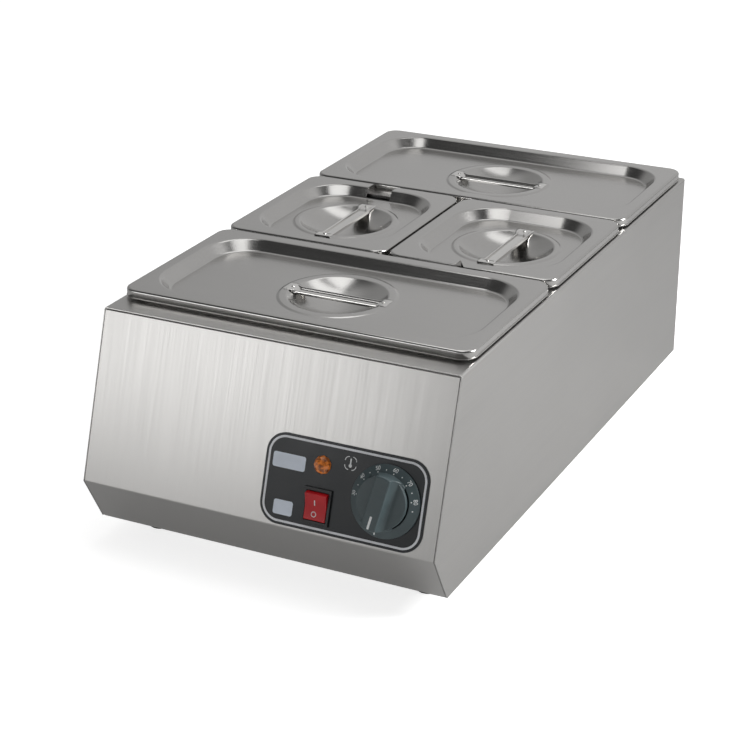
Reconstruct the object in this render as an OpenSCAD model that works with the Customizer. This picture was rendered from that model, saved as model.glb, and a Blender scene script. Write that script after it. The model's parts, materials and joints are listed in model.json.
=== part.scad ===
// Electric chocolate melting tank: a bent sheet casing with a sloped control face,
// a heated well, four lift-out pans in three rows, and a drawn lid on each pan.
// Millimetres, +X right, +Y to the back, +Z up, origin on the floor under the middle.

/* [Pans] */
// Width of a row of pans over the rims
row_w = 338; // [310:1:350]
// Distance from one row of pans to the next
row_pitch = 182.5; // [170:0.1:195]
// Gap between the rims of neighbouring pans
pan_gap = 2.2; // [1.6:0.1:3.5]
// Depth of a pan from rim to floor
pan_depth = 100; // [65:1:110]
// Sheet thickness of the pans
pan_sheet = 0.8; // [0.6:0.1:1.2]
// Width of the flat pan rim
pan_rim = 12; // [11:0.5:14]
// Outer corner radius of the pan rim
pan_rim_r = 14; // [10:0.5:18]
// Corner radius of the pan body under the rim
pan_body_r = 26; // [24:0.5:32]
// Height of the upright band under the rim
shoulder_h = 14; // [10:0.5:20]
// Inward step under that band, on which stacked pans rest
shoulder_step = 2.5; // [1.5:0.1:3.5]
// How far the pan wall leans in on its way down
pan_draft = 5; // [3:0.5:7]
// Radius between pan wall and pan floor
pan_floor_r = 12; // [8:0.5:13]

/* [Lids] */
// Sheet thickness of the lids
lid_sheet = 0.8; // [0.6:0.1:1.2]
// Setback of the lid edge from the pan rim edge
lid_inset = 0.4; // [0.2:0.1:1]
// Height of the turned-down lid edge
lid_flange = 7; // [5:0.5:9]
// Outer radius of the bend between lid top and edge
lid_bend_r = 2.4; // [1.8:0.1:3]
// Width of the flat lid rim
lid_rim = 13; // [11:0.5:15]
// Depth of the sunk lid panel
recess_depth = 10; // [8:0.5:12]
// Horizontal run of the sloped wall round the sunk panel
recess_run = 8; // [6:0.5:10]
// Corner radius of the sunk panel at the rim
recess_r = 44; // [30:0.5:50]
// Inner radius of the bends at the head and foot of that wall
recess_bend_r = 2.2; // [1.5:0.1:2.6]
// Diameter of the pressed ring on the two wide lids
ring_d_wide = 108; // [104:1:112]
// Diameter of the pressed ring on the two small lids
ring_d_small = 103; // [100:1:106]
// Rise of the pressed ring
ring_rise = 1; // [0.6:0.1:1.4]
// Diameter of the finger bowl
bowl_d = 90; // [84:1:92]
// Depth of the finger bowl
bowl_depth = 16; // [12:0.5:20]
// Width of the ladle notch in the small lids
notch_w = 26; // [20:1:32]

/* [Lid handles] */
// Length of the strap over its welded tabs
strap_l = 101; // [98:0.5:103]
// Length of each welded tab
tab_l = 7.1; // [6:0.1:10]
// Width of the strap
strap_w = 13; // [10:0.5:16]
// Sheet thickness of the strap
strap_sheet = 1.2; // [0.8:0.1:1.6]
// Rise of the grip above the tabs
strap_rise = 2.4; // [1.6:0.1:4]
// Radius of the rolled lip on each side of the grip
lip_r = 1.2; // [0.9:0.1:1.6]
// Width of the welded tabs
tab_w = 16; // [13:0.5:18]

/* [Casing] */
// Height of the casing, without its feet
casing_h = 193; // [185:1:230]
// Height of the forward edge of the front above the casing bottom
nose_h = 46; // [36:1:56]
// How far the deck edge stands behind that forward edge
face_setback = 48.5; // [30:0.5:60]
// How far the bottom front edge stands behind it
return_setback = 26; // [16:1:34]
// Deck in front of the pans
front_margin = 21.5; // [18:0.5:40]
// Deck beside the pans
side_margin = 1; // [0.8:0.1:6]
// Deck behind the pans
rear_margin = 1; // [0.8:0.1:10]
// Sheet thickness of the casing
sheet = 1; // [0.8:0.1:1.5]
// Inner radius of the casing bends
bend_r = 1.2; // [0.8:0.1:2]
// Width of the inner flanges that join the casing sheets
flange_w = 12; // [10:0.5:14]

/* [Well] */
// How far the pan rims overlap the well
bearing = 10.5; // [9.5:0.1:10.8]
// Height of the well collar above the deck
collar_h = 2.2; // [1.5:0.1:4]
// Room between the pans and the well floor
well_clear = 30; // [20:1:34]
// Corner radius of the well
well_r = 12; // [8:0.5:16]
// Width of the bars between the rows of pans
bar_w = 20; // [14:0.5:22]
// Height of those bars
bar_h = 14; // [10:0.5:18]

/* [Heating] */
// Diameter of the heating tube
tube_d = 7; // [6:0.5:8.5]
// Distance between the legs of the heating tube
leg_pitch = 70; // [50:1:72]
// Length of the straight legs
leg_l = 340; // [260:5:380]
// Diameter of the studs under the well
stud_d = 5; // [4:0.5:6]
// Diameter of the thermostat bulb
bulb_d = 6; // [5:0.5:8]
// Length of the thermostat bulb
bulb_l = 100; // [70:1:120]

/* [Control panel] */
// Width of the black overlay
overlay_w = 150.5; // [146:0.5:156]
// Height of the black overlay
overlay_h = 78; // [72:0.5:80]
// Corner radius of the overlay
overlay_r = 18; // [10:0.5:22]
// Thickness of the overlay
overlay_t = 0.8; // [0.5:0.1:1.2]
// Distance of the overlay from the right edge of the front
overlay_right = 14; // [13:0.5:16]
// Distance of the overlay from the forward edge of the front
overlay_low = 2.2; // [1.6:0.1:6]
// Dial centre, right of the overlay middle
dial_x = 39; // [36:0.5:40]
// Diameter of the fixed scale ring
dial_d = 62; // [58:0.5:66]
// Height of the scale ring at its inner edge
dial_h = 6; // [4:0.5:6.5]
// Switch and lamp centre, left of the overlay middle
switch_x = 22; // [20:0.5:24]
// Switch centre, under the overlay middle
switch_low = 16.8; // [14:0.1:18]
// Lamp centre, above the overlay middle
lamp_up = 18.4; // [17:0.1:22]

/* [Knob] */
// Diameter of the round knob base
knob_d = 45; // [40:0.5:45]
// Length of the grip bar across the knob
knob_bar_l = 49; // [46:0.5:50]
// Width of the grip bar on top
knob_bar_w = 13; // [9:0.5:15]
// Height of the knob face above the overlay
knob_h = 21; // [18:0.5:26]
// Clockwise angle of the pointer from straight up in the off position
off_angle = 190; // [180:1:200]

/* [Switch and lamp] */
// Width of the switch bezel
bezel_w = 25.4; // [24.4:0.1:28]
// Height of the switch bezel
bezel_h = 31; // [29.5:0.1:34]
// Thickness of the switch bezel
bezel_t = 2.2; // [1.6:0.1:2.6]
// Width of the rocker
rocker_w = 20; // [18:0.1:20.4]
// Radius of the rocker ends about the pivot
rocker_r = 12.2; // [11:0.1:12.4]
// Travel of the rocker
rocker_travel = 18; // [12:1:18]
// Diameter of the lamp lens
lens_d = 14.5; // [12:0.5:18]
// Height of the lamp lens
lens_h = 5; // [3:0.5:6.5]

/* [Thermostat] */
// Width and height of the thermostat body
thermo_w = 44; // [36:1:46]
// Depth of the thermostat body
thermo_l = 30; // [24:1:32]
// Diameter of the thermostat shaft
shaft_d = 6; // [5:0.5:6]
// Distance between the thermostat screws
thermo_screws_pitch = 28; // [26:0.5:30]

/* [Feet and rear] */
// Height of the rubber feet
foot_h = 19; // [12:1:30]
// Diameter of the rubber feet
foot_d = 24; // [20:1:30]
// Distance of the feet from the sides of the casing
foot_side = 36; // [30:1:60]
// Distance of the feet from the front and rear bottom edges
foot_in = 41; // [32:1:60]
// Bore of the cable gland
gland_bore = 8.5; // [6:0.5:10]
// Height of the cable gland above the casing bottom
gland_up = 45; // [36:1:60]
// Distance of the cable gland from the left side of the casing
gland_side = 60; // [40:1:90]

/* [Hidden] */
$fn = 96;

// Fits
// Overrun of every cut
cut = 1;
// Gap at a seam between two casing sheets
seam = 0.4;
// Gap between round or moving faces
run_gap = 0.3;
// Radial gap of a screw or stud in its hole
hole_gap = 0.15;
// Radial gap of a pin or shaft in its bearing
pivot_gap = 0.05;
// Straight steps that stand for one bend
bend_steps = 5;

// Casing and its levels
base_z = foot_h;
casing_z = base_z + sheet;
nose_z = casing_z + nose_h;
deck_z = casing_z + casing_h;
collar_z = deck_z + collar_h;
pan_top = collar_z + pan_sheet;
lid_top = pan_top + lid_flange;
body_w = row_w + 2*side_margin;
inside_w = body_w - 2*sheet;
rows_d = 3*row_pitch;
deck_d = front_margin + rows_d + rear_margin;
body_d = face_setback + deck_d;
face_rise = casing_h - nose_h;
lean = atan(face_setback/face_rise);
face_l = norm([face_setback, face_rise]);

// Control panel places, from the middle of the front and down its slope
overlay_x = body_w/2 - overlay_right - overlay_w/2;
overlay_down = face_l - overlay_low - overlay_h/2;
knob_x = overlay_x + dial_x;
control_x = overlay_x - switch_x;
lamp_down = overlay_down - lamp_up;
switch_down = overlay_down + switch_low;

// Cable gland, left of the middle
gland_x = body_w/2 - gland_side;
gland_wall = 3.75;
gland_step = 3;
gland_thread_d = gland_bore + 2*gland_wall;
gland_flat = gland_thread_d + 2*gland_step;
gland_hex_t = 5;
gland_cap_l = 15;
gland_tail = 10;
gland_nut_t = 5;
gland_reach = gland_hex_t + gland_cap_l;

// The part is centred between the knob's lowest edge and the gland's end
knob_taper = 1;
knob_edge = 1.2;
knob_reach = (overlay_t + knob_h)*cos(lean)
  + (overlay_down + knob_bar_l/2 - knob_taper - knob_edge)*sin(lean) - face_setback;
nose_y = (knob_reach - body_d - gland_reach)/2;
deck_y = nose_y + face_setback;
bottom_y = nose_y + return_setback;
rear_y = nose_y + body_d;
rows_y = deck_y + front_margin;
well_y = rows_y + rows_d/2;

// Pans, lids and well
wide_pan = [row_w - pan_gap, row_pitch - pan_gap];
small_pan = [row_w/2 - pan_gap, row_pitch - pan_gap];
ring_slope = 2*ring_rise;
grip_l = strap_l - 2*(tab_l + strap_rise);
well_w = row_w - 2*bearing;
well_l = rows_d - 2*bearing;
well_floor = pan_top - pan_depth - well_clear;
well_under = well_floor - sheet;
well_flange = bearing + min(side_margin, rear_margin) - 2*sheet - bend_r - seam;
seat_l = 10;

// Screws, studs and nuts
screw_d = 4;
screw_head_d = 7.4;
screw_head_t = 2.2;
screw_grip = 6;
nut_t = 4;
nut_flat_share = 1.65;
foot_screw_d = 5;
foot_screw_up = 9;
foot_head_d = 10;
foot_head_t = 3;
foot_recess = 8;
base_inset = 2;
base_screw_in = sheet + flange_w/2;
base_screw_shares = [0.14, 0.38, 0.62, 0.86];
rear_screw_shares = [0.2, 0.5, 0.8];
vent_l = 46;
vent_w = 4.5;
vent_pitch = 12;
vent_count = 6;

// Heating tube, clamps, cut-out and bulb, all under the well
tube_z = well_under - run_gap - tube_d/2;
clamp_t = 2;
clamp_w = 14;
clamp_over = 22;
clamp_top = tube_z - tube_d/2 - run_gap;
clamp_share = 0.3;
pin_d_share = 0.45;
pin_l = 22;
cutout_plate = [40, 12, 1];
cutout_can_d = 16;
cutout_can_h = 10;
blade = [6.3, 0.8, 8];
blade_x_share = 0.25;
bulb_z = well_under - run_gap - bulb_d/2;
clip_w = 24;
clip_l = 18;
clip_web = 2;
capillary_d = 2;
capillary_out = 12;
capillary_drop = 4;
bead_share = 1.15;

// Thermostat, switch and lamp behind the front
collar_wall = 2;
collar_d = shaft_d + 2*collar_wall;
collar_stand = 1.4;
shaft_in = 14;
shaft_short = 3;
knob_clear = 0.8;
knob_base_up = dial_h + knob_clear;
knob_base_t = 4;
knob_flank_share = 0.68;
flank_steps = 7;
dial_rim_h = 2;
dial_gap = 0.6;
switch_wall = 1.1;
switch_end = 1.3;
switch_l = 25;
rocker_up = 2.6;
rocker_low = 6;
rocker_room = 4;
pivot_up = 0.2;
pivot_d = 3;
pivot_in = 0.8;
switch_w = rocker_w + 2*run_gap + 2*switch_wall;
switch_h = 2*(rocker_r + run_gap + switch_end);
pivot_z = overlay_t + pivot_up;
lamp_d = 10;
lamp_l = 26;
lamp_nut_flat = 15;
lamp_nut_t = 4;
lens_rim_share = 0.3;

// Terminal block on the base plate
block = [56, 22, 20];
block_in = 70;
block_ways = 4;
block_hole_d = 5;
block_hole_t = 7;

// Plane geometry of bent sheet
function unit(v) = v/norm(v);
function left(v) = [-v[1], v[0]];
function spun(v, a) = [v[0]*cos(a) - v[1]*sin(a), v[0]*sin(a) + v[1]*cos(a)];
function turn(a, b) = atan2(a[0]*b[1] - a[1]*b[0], a*b);
function reversed(v) = [for (i = [len(v) - 1:-1:0]) v[i]];
// One bend at p from direction a to direction b, on the line that lies d left of the path
function bend(p, a, b, r, t, d) =
  let (angle = turn(a, b), side = sign(angle), radius = side > 0 ? r + t : r)
  let (middle = p - a*radius*tan(abs(angle)/2) + left(a)*side*radius)
  [for (i = [0:bend_steps])
    middle - spun(left(a), angle*i/bend_steps)*side*(radius - side*d)];
// The line that lies d left of a path, with inner radius r at each bend of a sheet t thick
function trace(path, r, t, d) =
  let (last = len(path) - 1, way = [for (i = [0:last - 1]) unit(path[i + 1] - path[i])])
  concat([path[0] + left(way[0])*d],
    [for (i = [1:1:last - 1]) each bend(path[i], way[i - 1], way[i], r, t, d)],
    [path[last] + left(way[last - 1])*d]);
// Outline of a sheet t thick to the left of a path
function bent(path, r, t) = concat(trace(path, r, t, 0), reversed(trace(path, r, t, t)));

// Places on the sloped front: x from the middle, down the slope from the deck edge, out from it
function front_point(x, down, out) =
  [x, deck_y - down*sin(lean) - out*cos(lean), deck_z - down*cos(lean) + out*sin(lean)];
module on_front(x, down) {
  translate(front_point(x, down, 0)) rotate([90 - lean, 0, 0]) children();
}
module across(w) {
  rotate([90, 0, 90]) linear_extrude(w, center = true) children();
}

// Plain shapes that several pieces share
module rounded(w, d, r) {
  square([w - 2*r, d], center = true);
  square([w, d - 2*r], center = true);
  for (x = [-1, 1], y = [-1, 1])
    translate([x*(w/2 - r), y*(d/2 - r)]) circle(r);
}
// Drawn shape on a rounded rectangle: levels are [inset from the outline, height], upwards
module drawn(size, r, levels) {
  bottom = levels[0][1];
  top = levels[len(levels) - 1][1];
  function flanks(half) = concat([for (p = levels) [half - p[0], p[1]]],
    [for (p = reversed(levels)) [p[0] - half, p[1]]]);
  rotate([90, 0, 0]) linear_extrude(size[1] - 2*r, center = true) polygon(flanks(size[0]/2));
  across(size[0] - 2*r) polygon(flanks(size[1]/2));
  for (i = [0:3])
    translate([sign(cos(45 + 90*i))*(size[0]/2 - r), sign(sin(45 + 90*i))*(size[1]/2 - r), 0])
      rotate(90*i) rotate_extrude(angle = 90)
        polygon(concat([[0, bottom]], [for (p = levels) [r - p[0], p[1]]], [[0, top]]));
}
module hexagon(flat, t) {
  cylinder(d = flat/cos(30), h = t, $fn = 6);
}
module nut(d, t) {
  difference() {
    hexagon(d*nut_flat_share, t);
    translate([0, 0, -cut]) cylinder(d = d + 2*pivot_gap, h = t + 2*cut);
  }
}
// Screw with its head above the plane and its shank below
module screw(l) {
  cylinder(d1 = screw_head_d, d2 = screw_head_d - screw_head_t, h = screw_head_t);
  translate([0, 0, -l]) cylinder(d = screw_d, h = l);
}
module screw_hole(l) {
  translate([0, 0, -l]) cylinder(d = screw_d + 2*hole_gap, h = l + cut);
}
// Round wire or tube through a few points
module run_through(points, d) {
  for (i = [0:len(points) - 2]) {
    v = points[i + 1] - points[i];
    translate(points[i]) rotate([0, acos(v[2]/norm(v)), atan2(v[1], v[0])]) cylinder(d = d, h = norm(v));
  }
  for (i = [1:1:len(points) - 2]) translate(points[i]) sphere(d = d*bead_share);
}

// Side view of the casing, from the deck edge round the nose
function casing_outline() = [[deck_y, deck_z], [nose_y, nose_z], [bottom_y, casing_z],
  [rear_y, casing_z], [rear_y, deck_z]];
module base_screw_places() {
  from = bottom_y + flange_w + sheet;
  span = rear_y - flange_w - sheet - from;
  for (x = [-1, 1], share = base_screw_shares)
    translate([x*(body_w/2 - base_screw_in), from + share*span, base_z]) rotate([180, 0, 0]) children();
}
module rear_screw_places() {
  for (x = [-1, 1], share = rear_screw_shares)
    translate([x*(body_w/2 - base_screw_in), rear_y, casing_z + share*casing_h])
      rotate([-90, 0, 0]) children();
}
module foot_places(x, y) {
  translate([x*(body_w/2 - foot_side), y < 0 ? bottom_y + foot_in : rear_y - foot_in, 0]) children();
}

// Casing sheets
module outer_casing() color("silver") {
  half = body_w/2;
  path = [[half, casing_z], [half, deck_z], [-half, deck_z], [-half, casing_z]];
  strip = flange_w + sheet/2;
  difference() {
    union() {
      intersection() {
        translate([0, rear_y, 0]) rotate([90, 0, 0]) linear_extrude(body_d)
          polygon(bent(path, bend_r, sheet));
        across(body_w + 2*cut) polygon(casing_outline());
      }
      for (x = [-1, 1]) {
        translate([x*(half - sheet/2 - strip/2), (bottom_y + rear_y)/2, casing_z + sheet/2])
          cube([strip, rear_y - bottom_y - 2*flange_w - 2*sheet, sheet], center = true);
        translate([x*(half - sheet/2 - strip/2), rear_y - sheet - sheet/2, casing_z + casing_h/2])
          cube([strip, sheet, casing_h - 2*flange_w], center = true);
        on_front(x*(half - sheet/2 - strip/2), face_l/2) translate([0, 0, -sheet - sheet/2])
          cube([strip, face_l - 2*flange_w, sheet], center = true);
      }
    }
    translate([0, well_y, deck_z - sheet - cut]) linear_extrude(sheet + 2*cut)
      rounded(well_w + 2*sheet + 2*seam, well_l + 2*sheet + 2*seam, well_r + sheet + seam);
    base_screw_places() screw_hole(2*sheet + cut);
    rear_screw_places() screw_hole(2*sheet + cut);
  }
}

module front_panel() color("gainsboro") {
  under = deck_z - sheet;
  top = [deck_y - sheet*tan(lean), under];
  path = [top + [flange_w, 0], top, [nose_y, nose_z], [bottom_y, casing_z], [bottom_y + flange_w, casing_z]];
  difference() {
    across(inside_w - 2*seam) polygon(bent(path, bend_r, sheet));
    control_holes(sheet);
  }
}
// Holes for the controls through a sheet of this thickness, down from the face
module control_holes(t) {
  depth = t + 2*cut;
  on_front(knob_x, overlay_down) translate([0, 0, -t - cut]) {
    cylinder(d = collar_d + 2*hole_gap, h = depth);
    for (x = [-1, 1]) translate([x*thermo_screws_pitch/2, 0, 0])
      cylinder(d = screw_d + 2*hole_gap, h = depth);
  }
  on_front(control_x, lamp_down) translate([0, 0, -t - cut]) cylinder(d = lamp_d + 2*hole_gap, h = depth);
  on_front(control_x, switch_down) translate([0, 0, -t - cut]) linear_extrude(depth)
    square([switch_w + 2*hole_gap, switch_h + 2*hole_gap], center = true);
}

module rear_panel() color("gainsboro") {
  path = [[rear_y - flange_w, casing_z], [rear_y, casing_z], [rear_y, deck_z - sheet]];
  difference() {
    across(inside_w - 2*seam) polygon(bent(path, bend_r, sheet));
    rear_screw_places() screw_hole(2*sheet + cut);
    translate([-gland_x, rear_y - sheet - cut, casing_z + gland_up]) rotate([-90, 0, 0])
      cylinder(d = gland_thread_d + 2*hole_gap, h = sheet + 2*cut);
    translate([0, rear_y + cut, casing_z + gland_up]) rotate([90, 0, 0]) vents(sheet + 2*cut);
  }
}
// Field of round-ended vent slots
module vents(t) {
  linear_extrude(t) for (x = [-1, 1], i = [0:vent_count - 1])
    translate([x*(vent_l + vent_w)/2, (i - (vent_count - 1)/2)*vent_pitch]) {
      square([vent_l - 2*vent_w, vent_w], center = true);
      for (end = [-1, 1]) translate([end*(vent_l/2 - vent_w), 0]) circle(d = vent_w);
    }
}

module base_plate() color("gray") {
  l = rear_y - bottom_y - 2*base_inset;
  difference() {
    translate([0, bottom_y + base_inset + l/2, base_z + sheet/2])
      cube([body_w - 2*base_inset, l, sheet], center = true);
    base_screw_places() screw_hole(sheet + cut);
    for (x = [-1, 1], y = [-1, 1]) foot_places(x, y) translate([0, 0, base_z - cut])
      cylinder(d = foot_screw_d + 2*hole_gap, h = sheet + 2*cut);
    for (share = [clamp_share, 1 - clamp_share])
      translate([0, bottom_y + share*(rear_y - bottom_y), base_z - cut]) vents(sheet + 2*cut);
    terminal_screw_places() translate([0, 0, casing_z]) screw_hole(sheet + cut);
  }
}

// Well, its divider bars and what hangs under it
module heated_well() color("lightsteelblue") {
  outer = [well_w + 2*sheet, well_l + 2*sheet];
  translate([0, well_y, 0]) {
    difference() {
      union() {
        translate([0, 0, well_under]) linear_extrude(collar_z - well_under)
          rounded(outer[0], outer[1], well_r + sheet);
        translate([0, 0, deck_z - 2*sheet]) linear_extrude(sheet)
          rounded(outer[0] + 2*well_flange, outer[1] + 2*well_flange, well_r + sheet + well_flange);
      }
      translate([0, 0, well_floor]) linear_extrude(collar_z - well_floor + cut)
        rounded(well_w, well_l, well_r);
    }
    for (x = [-1, 1], y = [-1, 1])
      translate([x*(well_w - seat_l)/2, y*row_pitch/2, collar_z - bar_h - sheet/2])
        cube([seat_l + sheet, bar_w, sheet], center = true);
    stud_places() translate([0, 0, -stud_l() + well_under]) cylinder(d = stud_d, h = stud_l() + sheet/2);
    cutout_stud_places() translate([0, 0, well_under - cutout_stud_l()])
      cylinder(d = screw_d, h = cutout_stud_l() + sheet/2);
  }
}
function stud_l() = well_under - clamp_top + clamp_t + nut_t + sheet;
function cutout_stud_l() = cutout_plate[2] + nut_t + sheet;
module stud_places() {
  for (x = [-1, 1], y = [-1, 1]) translate([x*leg_pitch, y*clamp_share*leg_l, 0]) children();
}
module cutout_stud_places() {
  for (x = [-1, 1]) translate([x*(cutout_plate[0] - cutout_plate[1])/2, 0, 0]) children();
}

module divider_bar(y) {
  half = bar_w/2;
  path = [[half, collar_z - bar_h], [half, collar_z], [-half, collar_z], [-half, collar_z - bar_h]];
  translate([0, y, 0]) across(well_w - 2*seam) polygon(bent(path, bend_r, sheet));
}
module front_divider_bar() color("silver") divider_bar(well_y - row_pitch/2);
module rear_divider_bar() color("silver") divider_bar(well_y + row_pitch/2);

module heating_element() color("dimgray") translate([0, well_y, tube_z]) {
  for (i = [-1.5:1:1.5]) translate([i*leg_pitch, 0, 0]) rotate([90, 0, 0])
    cylinder(d = tube_d, h = leg_l, center = true);
  for (x = [-1, 1]) translate([x*leg_pitch, leg_l/2, 0]) u_bend();
  translate([0, -leg_l/2, 0]) rotate(180) u_bend();
  for (x = [-1.5, 1.5]) translate([x*leg_pitch, -leg_l/2, 0]) rotate([90, 0, 0])
    cylinder(d = tube_d*pin_d_share, h = pin_l);
}
module u_bend() {
  rotate_extrude(angle = 180) translate([leg_pitch/2, 0]) circle(d = tube_d);
}

module element_clamps() color("darkgray") translate([0, well_y, 0]) {
  for (y = [-1, 1]) difference() {
    translate([0, y*clamp_share*leg_l, clamp_top - clamp_t/2])
      cube([3*leg_pitch + 2*clamp_over, clamp_w, clamp_t], center = true);
    stud_places() translate([0, 0, clamp_top - clamp_t - cut])
      cylinder(d = stud_d + 2*hole_gap, h = clamp_t + 2*cut);
  }
}

module well_nuts() color("gold") translate([0, well_y, 0]) {
  stud_places() translate([0, 0, clamp_top - clamp_t - nut_t]) nut(stud_d, nut_t);
  cutout_stud_places() translate([0, 0, well_under - cutout_plate[2] - nut_t]) nut(screw_d, nut_t);
}

module overheat_cutout() color("black") translate([0, well_y, well_under]) {
  difference() {
    translate([0, 0, -cutout_plate[2]/2]) cube(cutout_plate, center = true);
    cutout_stud_places() translate([0, 0, -cutout_plate[2] - cut])
      cylinder(d = screw_d + 2*hole_gap, h = cutout_plate[2] + 2*cut);
  }
  translate([0, 0, -cutout_plate[2] - cutout_can_h]) cylinder(d = cutout_can_d, h = cutout_can_h);
  for (x = [-1, 1])
    translate([x*blade_x_share*cutout_can_d, 0, -cutout_plate[2] - cutout_can_h - blade[2]/2])
      cube([blade[1], blade[0], blade[2]], center = true);
}

// Bulb under the well, with its capillary past the stud to the back of the thermostat
module thermostat_bulb() color("peru") {
  x = leg_pitch;
  side = x + capillary_out;
  y = well_y - bulb_l/2;
  front = well_y - well_l/2 - sheet;
  back = front_point(knob_x, overlay_down, -sheet - thermo_l);
  inward = [0, cos(lean), -sin(lean)];
  translate([x, y, bulb_z]) rotate([-90, 0, 0]) cylinder(d = bulb_d, h = bulb_l);
  run_through([[x, y + cut, bulb_z], [x, y - capillary_out, bulb_z],
    [side, y - 2*capillary_out, bulb_z], [side, front + 2*capillary_out, bulb_z],
    [(side + knob_x)/2, front - capillary_out/2, bulb_z - capillary_drop],
    back + inward*capillary_out, back], capillary_d);
}
module bulb_clip() color("silver") {
  h = run_gap + bulb_d + run_gap + clip_web;
  translate([leg_pitch, well_y, well_under - h/2]) difference() {
    cube([clip_w, clip_l, h], center = true);
    translate([0, 0, bulb_z - well_under + h/2]) rotate([90, 0, 0])
      cylinder(d = bulb_d + 2*run_gap, h = clip_l + 2*cut, center = true);
    translate([0, 0, h/2]) cube([bulb_d + 2*run_gap, clip_l + 2*cut, bulb_d + 2*run_gap], center = true);
  }
}

// Pans: wall levels for the outer face at skin 0 and the inner face at skin pan_sheet
function pan_levels(skin, top) =
  let (in = shoulder_step + pan_draft + pan_floor_r, up = pan_floor_r - pan_depth, r = pan_floor_r - skin)
  concat([for (i = [bend_steps:-1:0]) let (a = 90*i/bend_steps) [in - r*cos(a), up - r*sin(a)]],
    [[shoulder_step + skin, -shoulder_h - shoulder_step], [skin, -shoulder_h], [skin, top]]);
module pan(size) {
  body = size - [2*pan_rim, 2*pan_rim];
  difference() {
    union() {
      translate([0, 0, -pan_sheet]) linear_extrude(pan_sheet) rounded(size[0], size[1], pan_rim_r);
      drawn(body, pan_body_r, pan_levels(0, 0));
    }
    drawn(body, pan_body_r, pan_levels(pan_sheet, cut));
  }
}
module wide_place(row) {
  translate([0, well_y + row*row_pitch, 0]) children();
}
module small_place(side) {
  translate([side*row_w/4, well_y, 0]) children();
}
module front_pan() color("lightgray") wide_place(-1) translate([0, 0, pan_top]) pan(wide_pan);
module rear_pan() color("lightgray") wide_place(1) translate([0, 0, pan_top]) pan(wide_pan);
module left_pan() color("lightgray") small_place(-1) translate([0, 0, pan_top]) pan(small_pan);
module right_pan() color("lightgray") small_place(1) translate([0, 0, pan_top]) pan(small_pan);

// Lids, measured from the lid top down
function edge_levels(skin, bottom) = let (r = lid_bend_r - skin)
  concat([[skin, bottom]],
    [for (i = [0:bend_steps]) let (a = 90*i/bend_steps) [lid_bend_r - r*cos(a), r*sin(a) - lid_bend_r]]);
// Sloped wall from the sunk floor up to the rim, on its upper face or its lower face
function wall_levels(skin) =
  let (reach = recess_run + recess_bend_r*3)
  let (path = [[-reach, 0], [0, 0], [recess_run, -recess_depth], [recess_run + reach, -recess_depth]])
  let (line = trace(reversed(path), recess_bend_r, lid_sheet, skin))
  [for (i = [1:len(line) - 2]) line[i]];
module lid_shell(size, ring_d) {
  recess = size - [2*lid_rim, 2*lid_rim];
  corner = pan_rim_r - lid_inset;
  upper = wall_levels(0);
  lower = wall_levels(lid_sheet);
  head = upper[len(upper) - 1];
  difference() {
    union() {
      difference() {
        drawn(size, corner, edge_levels(0, -lid_flange));
        drawn(size, corner, edge_levels(lid_sheet, -lid_flange - cut));
      }
      drawn(recess, recess_r, concat(lower, [[head[0], -lid_sheet/2]]));
    }
    drawn(recess, recess_r, concat(upper, [[head[0], cut]]));
    translate([0, 0, -recess_depth - lid_sheet - cut]) cylinder(d = ring_d, h = lid_sheet + 2*cut);
  }
}
// Pressed ring and finger bowl, revolved about the lid centre
module lid_dish(ring_d) {
  bowl_r = bowl_d/2;
  ball_r = (bowl_r*bowl_r + bowl_depth*bowl_depth)/(2*bowl_depth);
  ring_top = ring_rise - recess_depth;
  path = [[bowl_r, ring_top], [ring_d/2 - ring_slope, ring_top], [ring_d/2, -recess_depth],
    [ring_d/2 + lid_sheet, -recess_depth]];
  under = [for (p = reversed(path)) p - [0, lid_sheet]];
  rotate_extrude() polygon(concat(path, under));
  translate([0, 0, ring_top]) difference() {
    intersection() {
      translate([0, 0, ball_r - bowl_depth]) sphere(ball_r + lid_sheet);
      translate([0, 0, -bowl_depth - lid_sheet]) cylinder(r = bowl_r + lid_sheet, h = bowl_depth + lid_sheet);
    }
    translate([0, 0, ball_r - bowl_depth]) sphere(ball_r);
  }
}
module lid(pan_size, ring_d) {
  lid_shell(pan_size - [2*lid_inset, 2*lid_inset], ring_d);
  lid_dish(ring_d);
}
// Small lid with a ladle notch in its rim and wall on one side
module notched_lid(side) {
  depth = lid_inset + lid_rim + recess_run;
  difference() {
    lid(small_pan, ring_d_small);
    y = side > 0 ? small_pan[1]/2 - depth : -small_pan[1]/2 - cut;
    translate([-notch_w/2, y, -lid_flange - recess_depth])
      cube([notch_w, depth + cut, lid_flange + recess_depth + cut]);
  }
}
module front_lid() color("lightgray") wide_place(-1) translate([0, 0, lid_top]) lid(wide_pan, ring_d_wide);
module rear_lid() color("lightgray") wide_place(1) translate([0, 0, lid_top]) lid(wide_pan, ring_d_wide);
module left_lid() color("lightgray") small_place(-1) translate([0, 0, lid_top]) notched_lid(1);
module right_lid() color("lightgray") small_place(1) translate([0, 0, lid_top]) notched_lid(-1);

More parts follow.
